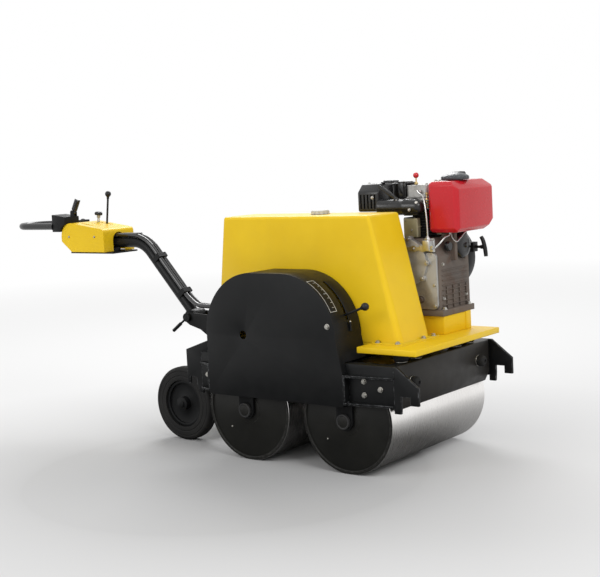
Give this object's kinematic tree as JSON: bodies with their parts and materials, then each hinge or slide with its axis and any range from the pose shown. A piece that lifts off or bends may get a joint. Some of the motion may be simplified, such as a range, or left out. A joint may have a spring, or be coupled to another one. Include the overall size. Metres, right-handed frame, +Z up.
{
  "type": "walk-behind double-drum vibratory roller",
  "caption": "Pedestrian vibratory roller: two steel drums in a black frame, yellow hood and deck, side-mounted diesel engine, hinged handle with console, support wheels.",
  "frame": {"origin": "on the ground, under the middle of the whole machine's bounding box", "axes": "+X forward, from the handle towards the front drum; +Y to the machine's left, the engine side; +Z up"},
  "size_m": [2.61, 0.8095, 1.1523],
  "materials": {
    "frame_black": "satin black paint",
    "plate_grey_black": "worn satin black paint",
    "yellow_paint": "semi-gloss yellow paint",
    "drum_black": "worn black paint",
    "drum_steel": "bright rolled steel",
    "bright_steel": "machined steel",
    "zinc_bolt": "zinc plated",
    "engine_alloy": "cast, matt",
    "cast_dark": "dark cast iron",
    "muffler_black": "matt heat-proof black",
    "tank_red": "gloss red paint",
    "knob_red": "gloss",
    "black_plastic": "matt",
    "grip_black": "gloss black sleeve",
    "rubber_black": "matt rubber",
    "hose_black": "shiny hose cover",
    "tyre_black": "solid rubber",
    "tank_plastic": "natural polyethylene"
  },
  "bodies": {
    "chassis": {"main_frame": "frame_black", "end_plates": "plate_grey_black", "hook_brackets": "frame_black", "rubber_mounts": "rubber_black", "deck": "yellow_paint", "hood": "yellow_paint", "water_tank": "tank_plastic", "right_cover": "frame_black", "left_cover": "frame_black", "frame_bolts": "zinc_bolt", "bearing_housings": "cast_dark", "travel_motor": "cast_dark", "drive_chain": "bright_steel", "exciter_housing": "cast_dark", "drive_belts": "rubber_black", "hydraulic_pump": "cast_dark", "engine_pedestal": "yellow_paint", "crankcase": "engine_alloy", "crankcase_cover": "engine_alloy", "cylinder": "cast_dark", "cylinder_head": "engine_alloy", "rocker_cover": "engine_alloy", "muffler": "muffler_black", "air_cleaner": "black_plastic", "fuel_tank": "tank_red", "fan_housing": "frame_black", "fuel_system": "bright_steel", "handle_bracket": "frame_black", "frame_hoses": "hose_black", "wheel_bracket": "frame_black"},
    "front_drum": {"front_drum_shell": "drum_steel", "front_drum_core": "drum_black", "front_drum_sprocket": "bright_steel"},
    "rear_drum": {"rear_drum_shell": "drum_steel", "rear_drum_core": "drum_black", "rear_drum_sprocket": "bright_steel"},
    "travel_drive": {"motor_sprocket": "bright_steel"},
    "exciter_rotor": {"exciter_shaft": "bright_steel", "exciter_pulley": "cast_dark"},
    "intermediate_shaft": {"jackshaft": "bright_steel"},
    "engine_crank": {"crankshaft": "bright_steel", "pto_pulley": "cast_dark"},
    "water_filler_cap": {"water_cap": "tank_plastic"},
    "fuel_filler_cap": {"fuel_cap": "black_plastic"},
    "starter_grip": {"recoil_handle": "black_plastic"},
    "decompressor": {"decompression_lever": "knob_red"},
    "vibration_lever": {"speed_lever": "frame_black"},
    "handle": {"handle_arm": "frame_black", "handle_hoses": "hose_black", "console_shell": "yellow_paint", "console_frame": "frame_black", "loop_handle": "grip_black"},
    "handle_lock": {"lock_lever": "frame_black"},
    "throttle": {"throttle_lever": "frame_black"},
    "knob": {"star_knob": "black_plastic"},
    "direction_lever": {"travel_lever": "frame_black"},
    "right_wheel": {"right_wheel_tyre": "tyre_black", "right_wheel_rim": "frame_black"},
    "left_wheel": {"left_wheel_tyre": "tyre_black", "left_wheel_rim": "frame_black"}
  },
  "joints": [
    {"name": "front_drum_spin", "type": "hinge", "parent": "chassis", "child": "front_drum", "pos_m": [0.961, 0, 0.2125], "axis": [0, 1, 0], "continuous": true},
    {"name": "rear_drum_spin", "type": "hinge", "parent": "chassis", "child": "rear_drum", "pos_m": [0.461, 0, 0.2125], "axis": [0, 1, 0], "continuous": true},
    {"name": "motor_sprocket_spin", "type": "hinge", "parent": "chassis", "child": "travel_drive", "pos_m": [0.711, 0.36, 0.372], "axis": [0, 1, 0], "continuous": true},
    {"name": "crankshaft_spin", "type": "hinge", "parent": "chassis", "child": "engine_crank", "pos_m": [1.011, 0.1, 0.79], "axis": [0, 1, 0], "continuous": true},
    {"name": "intermediate_shaft_spin", "type": "hinge", "parent": "chassis", "child": "intermediate_shaft", "pos_m": [0.651, -0.2, 0.579], "axis": [0, 1, 0], "continuous": true},
    {"name": "exciter_spin", "type": "hinge", "parent": "chassis", "child": "exciter_rotor", "pos_m": [0.711, -0.06, 0.372], "axis": [0, 1, 0], "continuous": true},
    {"name": "right_wheel_spin", "type": "hinge", "parent": "chassis", "child": "right_wheel", "pos_m": [-0.046, -0.187, 0.165], "axis": [0, 1, 0], "continuous": true},
    {"name": "left_wheel_spin", "type": "hinge", "parent": "chassis", "child": "left_wheel", "pos_m": [-0.046, 0.187, 0.165], "axis": [0, 1, 0], "continuous": true},
    {"name": "handle_raise", "type": "hinge", "parent": "chassis", "child": "handle", "pos_m": [-0.139, 0, 0.53], "axis": [0, 1, 0], "range_deg": [0, 65]},
    {"name": "handle_lock_turn", "type": "hinge", "parent": "chassis", "child": "handle_lock", "pos_m": [-0.139, -0.06, 0.53], "axis": [0, 1, 0], "range_deg": [0, 50]},
    {"name": "throttle_swing", "type": "hinge", "parent": "handle", "child": "throttle", "pos_m": [-0.775, 0.06, 0.906], "axis": [0, 1, 0], "range_deg": [-15, 25]},
    {"name": "star_knob_turn", "type": "hinge", "parent": "handle", "child": "knob", "pos_m": [-0.838, 0.06, 0.906], "axis": [0.1392, 0, 0.9903], "continuous": true},
    {"name": "direction_lever_swing", "type": "hinge", "parent": "handle", "child": "direction_lever", "pos_m": [-0.897, -0.04, 1.022], "axis": [0, 1, 0], "range_deg": [-25, 25]},
    {"name": "vibration_lever_swing", "type": "hinge", "parent": "chassis", "child": "vibration_lever", "pos_m": [0.706, -0.3, 0.531], "axis": [0, -1, 0], "range_deg": [0, 35]},
    {"name": "water_cap_lift", "type": "slide", "parent": "chassis", "child": "water_filler_cap", "axis": [0, 0, 1], "range_m": [0, 0.06]},
    {"name": "fuel_cap_lift", "type": "slide", "parent": "chassis", "child": "fuel_filler_cap", "axis": [0, 0, 1], "range_m": [0, 0.06]},
    {"name": "starter_pull", "type": "slide", "parent": "chassis", "child": "starter_grip", "axis": [1, 0, 0], "range_m": [0, 0.6], "stiffness_N_per_m": 40, "springref_m": -0.4},
    {"name": "decompression_tilt", "type": "hinge", "parent": "chassis", "child": "decompressor", "pos_m": [0.999, 0.158, 1.1063], "axis": [0, 1, 0], "range_deg": [0, 35]}
  ],
  "couplings": [
    {"joint": "rear_drum_spin", "follows": "front_drum_spin", "ratio": 1},
    {"joint": "motor_sprocket_spin", "follows": "front_drum_spin", "ratio": 1.5385},
    {"joint": "intermediate_shaft_spin", "follows": "crankshaft_spin", "ratio": 0.82222},
    {"joint": "exciter_spin", "follows": "crankshaft_spin", "ratio": 1.1877}
  ]
}
